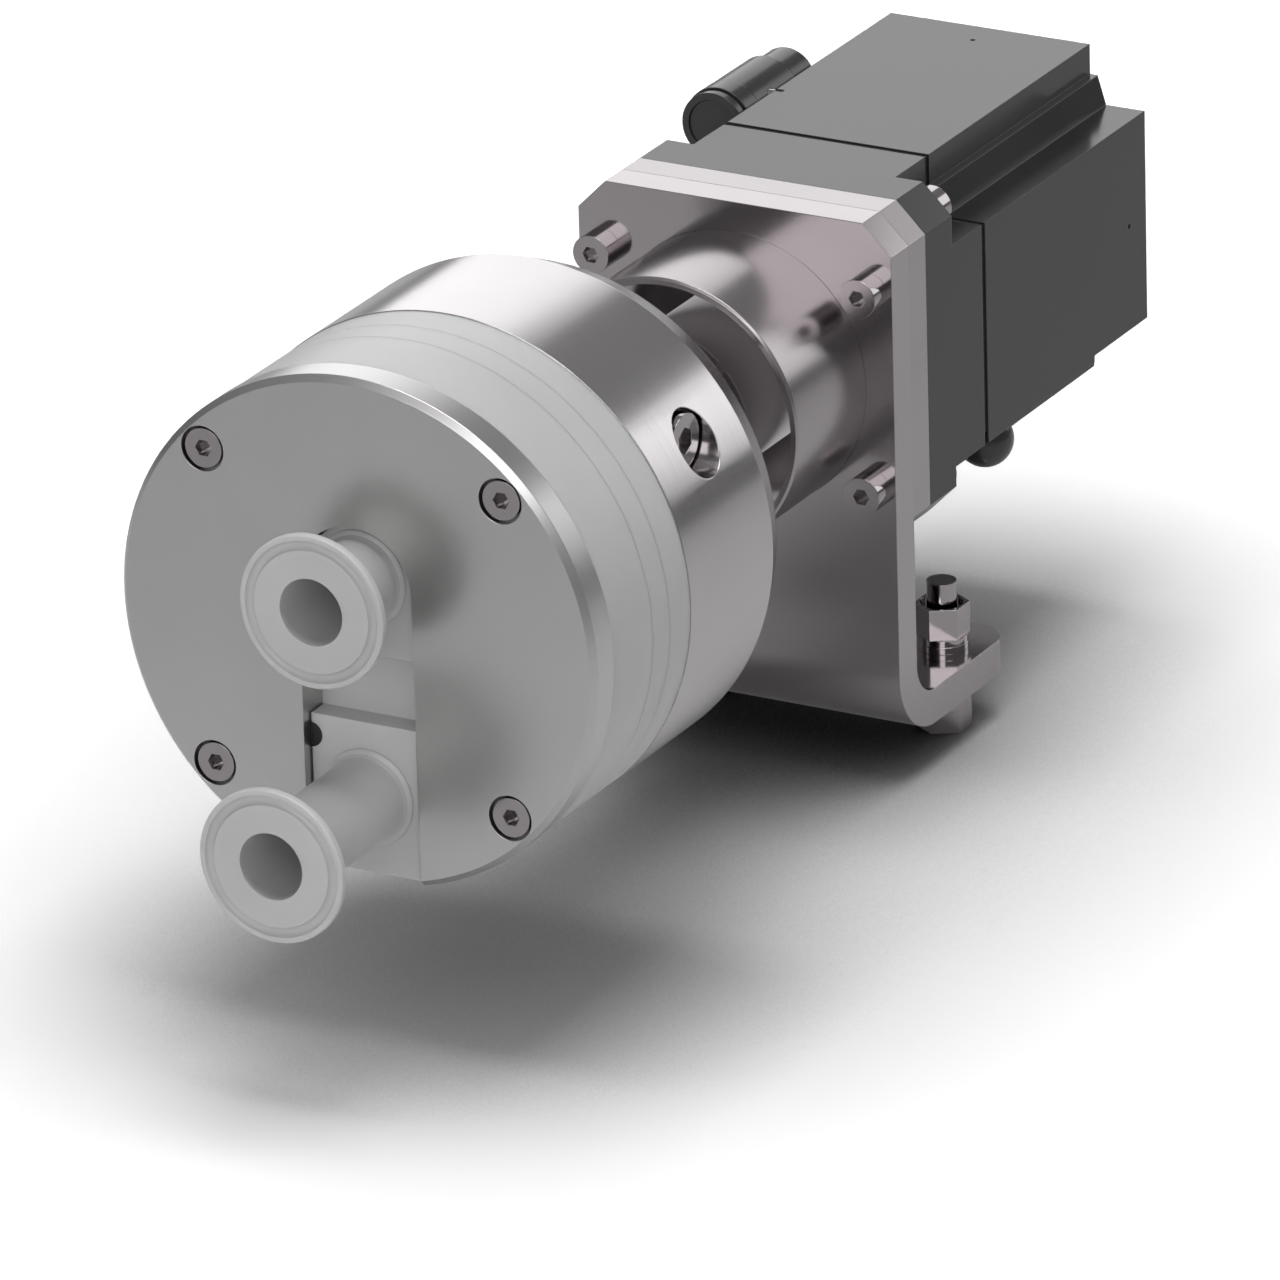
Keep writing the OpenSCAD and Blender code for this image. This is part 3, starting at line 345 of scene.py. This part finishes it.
# Studio: a pale floor under the hex heads of the foot bolts, with painted shade under the pump for
# the camera, a softbox overhead, two upright softboxes behind and one in front that the steel
# mirrors, a small fill inside the lantern, and a glowing grey card behind the motor, seen only in
# mirrors, that paints a darker reflection into the top of the foot
studio = {
    "floorZ": -0.0162, "floorSize": 30, "floorGain": 1.55, "floorMirrored": "#dcdcdc",
    # painted floor shade: how far the occlusion mask reaches, its power, and its rays
    "shadeReach": 0.3, "shadePower": 1.75, "shadeSamples": 8,
    "skyLow": "#8c8c8c", "skyHigh": "#c4c4c4", "skyStrength": 0.65, "skyOnMatt": 0.1,
    "front": (0.2, -0.95, -0.2), "frontPower": 3, "frontGain": 2.7,
    "lamps": [
        # name, shape, place, aim, width, height, watts, whether matt surfaces get its light
        ("topSoftbox", "RECTANGLE", (0.1, -0.15, 1.9), (0, -0.15, 0), 1.15, 1.15, 22, True),
        ("backLeftSoftbox", "RECTANGLE", (-1.11, 2.14, 1.1), (0, 0, 0.12), 1.64, 1.6, 12, True),
        ("backRightSoftbox", "RECTANGLE", (0.97, 1.86, 0.73), (0, 0, 0.12), 0.98, 0.88, 4, True),
        ("frontSoftbox", "RECTANGLE", (0.44, -1.9, 1.35), (0, -0.05, 0.12), 2.0, 1.4, 22, False),
        ("lanternFill", "ELLIPSE", (0, -0.046, 0.123), (0, -1, 0.123), 0.084, 0.084, 0.01, True),
    ],
    # the card that paints a darker reflection: place and size in metres, and how brightly it glows
    "cardAt": (-0.06, 0.2, 0.11), "cardSize": (0.16, 0.1), "cardTone": 0.3,
}


def buildFloor():
    # painted shade: for the camera the floor's colour is darkened by an ambient-occlusion mask
    # under and near the pump; other rays see an even tone
    bpy.ops.mesh.primitive_plane_add(size=studio["floorSize"], location=(0, 0, studio["floorZ"]))
    floor = bpy.context.object
    floor.name = "floor"
    material, tree = emptyMaterial("paleFloorPaintedShade")
    # painted shade: the occlusion mask, raised to a power and scaled, becomes the floor colour the
    # camera sees
    under = addNode(tree, "ShaderNodeAmbientOcclusion", samples=studio["shadeSamples"],
                    Distance=studio["shadeReach"])
    paintedShade = addNode(tree, "ShaderNodeMath", [(0, under, "AO")], operation="POWER",
                   second=studio["shadePower"])
    pale = addNode(tree, "ShaderNodeMath", [(0, paintedShade, "Value")], operation="MULTIPLY",
                   second=studio["floorGain"])
    seen = addNode(tree, "ShaderNodeBsdfDiffuse", [("Color", pale, "Value")])
    even = addNode(tree, "ShaderNodeBsdfDiffuse", Color=linearColour(studio["floorMirrored"]))
    ray = addNode(tree, "ShaderNodeLightPath")
    mix = addNode(tree, "ShaderNodeMixShader",
                  [(0, ray, "Is Camera Ray"), (1, even, "BSDF"), (2, seen, "BSDF")])
    addNode(tree, "ShaderNodeOutputMaterial", [("Surface", mix, "Shader")])
    floor.data.materials.append(material)


def buildCard():
    # painted reflection: a sheet glowing a set grey, hidden from the camera, matt surfaces and
    # shadows, that the steel mirrors as darker shade in the top of the foot
    bpy.ops.mesh.primitive_plane_add(size=1, location=studio["cardAt"],
                                     rotation=(math.pi / 2, 0, 0))
    card = bpy.context.object
    card.name = "paintedReflectionCard"
    card.scale = studio["cardSize"] + (1,)
    card.visible_camera = False
    card.visible_diffuse = False
    card.visible_shadow = False
    material, tree = emptyMaterial("paintedReflectionCard")
    even = addNode(tree, "ShaderNodeEmission", Strength=studio["cardTone"])
    addNode(tree, "ShaderNodeOutputMaterial", [("Surface", even, "Emission")])
    card.data.materials.append(material)


def buildLamps():
    for name, shape, place, aim, width, height, watts, onMatt in studio["lamps"]:
        lamp = bpy.data.lights.new(name, "AREA")
        lamp.shape = shape
        lamp.size = width
        lamp.size_y = height
        lamp.energy = watts
        holder = bpy.data.objects.new(name, lamp)
        bpy.context.scene.collection.objects.link(holder)
        holder.location = place
        holder.visible_camera = False
        holder.visible_diffuse = onMatt
        holder.rotation_euler = (Vector(place) - Vector(aim)).to_track_quat("Z", "Y").to_euler()


def buildSky():
    # white for the camera, grey for mirrors, and light from the front for matt surfaces
    world = bpy.context.scene.world or bpy.data.worlds.new("studio")
    bpy.context.scene.world = world
    world.use_nodes = True
    tree = world.node_tree
    tree.nodes.clear()
    way = addNode(tree, "ShaderNodeTexCoord")
    split = addNode(tree, "ShaderNodeSeparateXYZ", [("Vector", way, "Generated")])
    fade = addNode(tree, "ShaderNodeValToRGB", [("Fac", split, "Z")],
                   ramp=((0, studio["skyLow"]), (1, studio["skyHigh"])))
    mirrored = addNode(tree, "ShaderNodeBackground", [("Color", fade, "Color")],
                       Strength=studio["skyStrength"])
    facing = addNode(tree, "ShaderNodeVectorMath", [(0, way, "Generated")],
                     operation="DOT_PRODUCT", second=studio["front"])
    ahead = addNode(tree, "ShaderNodeMath", [(0, facing, "Value")], operation="MAXIMUM", second=0)
    narrow = addNode(tree, "ShaderNodeMath", [(0, ahead, "Value")], operation="POWER",
                     second=studio["frontPower"])
    fill = addNode(tree, "ShaderNodeMapRange", [("Value", narrow, "Value")], clamp=False,
                   To_Min=studio["skyOnMatt"], To_Max=studio["skyOnMatt"] + studio["frontGain"])
    onMatt = addNode(tree, "ShaderNodeBackground", [("Strength", fill, "Result")],
                     Color=(1, 1, 1, 1))
    white = addNode(tree, "ShaderNodeBackground", Color=(1, 1, 1, 1), Strength=1.0)
    ray = addNode(tree, "ShaderNodeLightPath")
    inner = addNode(tree, "ShaderNodeMixShader",
                    [(0, ray, "Is Glossy Ray"), (1, onMatt, "Background"),
                     (2, mirrored, "Background")])
    mix = addNode(tree, "ShaderNodeMixShader",
                  [(0, ray, "Is Camera Ray"), (1, inner, "Shader"), (2, white, "Background")])
    addNode(tree, "ShaderNodeOutputWorld", [("Surface", mix, "Shader")])


buildFloor()
buildCard()
buildLamps()
buildSky()
bpy.context.scene.view_settings.view_transform = "Standard"
print("studio done")
